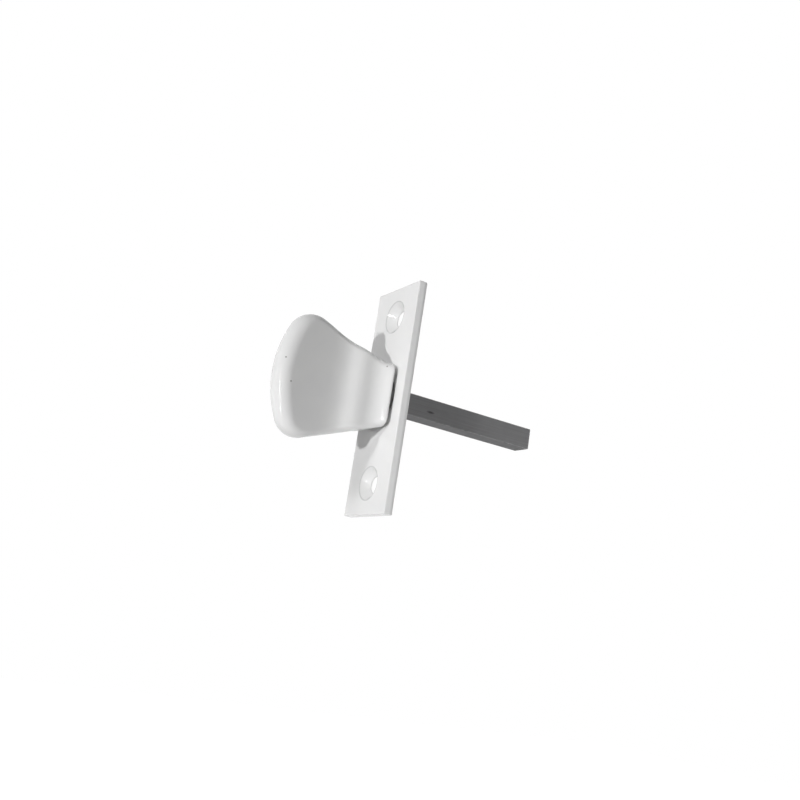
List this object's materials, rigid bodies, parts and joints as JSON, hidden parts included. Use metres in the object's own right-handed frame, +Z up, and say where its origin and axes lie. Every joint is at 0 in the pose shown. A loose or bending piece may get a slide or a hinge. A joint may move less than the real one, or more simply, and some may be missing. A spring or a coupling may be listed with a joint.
{
  "type": "thumb turn",
  "caption": "White door thumb turn: a waisted, fan-shaped grip on a flat rectangular plate with countersunk holes, driving a square steel spindle.",
  "frame": {"origin": "on the spindle's axis, in the plane of the plate's back, which meets the door", "axes": "+Z up along the plate, +Y into the door along the spindle, -Y out into the room, +X to the right as seen from the room"},
  "size_m": [0.025, 0.0962, 0.075],
  "materials": {
    "plate_paint": "smooth gloss white paint",
    "grip_paint": "smooth gloss white paint on a casting",
    "spindle_steel": "dull dark grey drawn steel",
    "screw_steel": "black oxide",
    "clip_steel": "oiled dark spring steel",
    "washer_steel": "zinc plated",
    "bush_plastic": "natural white moulded plastic",
    "thrust_plastic": "black moulded plastic"
  },
  "bodies": {
    "plate": {"face_plate": "plate_paint", "bearing_bush": "bush_plastic", "thrust_washer": "thrust_plastic", "wave_washer": "washer_steel"},
    "turn": {"thumb_grip": "grip_paint", "square_spindle": "spindle_steel", "grub_screw": "screw_steel", "circlip": "clip_steel", "back_washer": "washer_steel"}
  },
  "joints": [
    {"name": "turn", "type": "hinge", "parent": "plate", "child": "turn", "pos_m": [0, 0, 0], "axis": [0, -1, 0], "continuous": true}
  ]
}
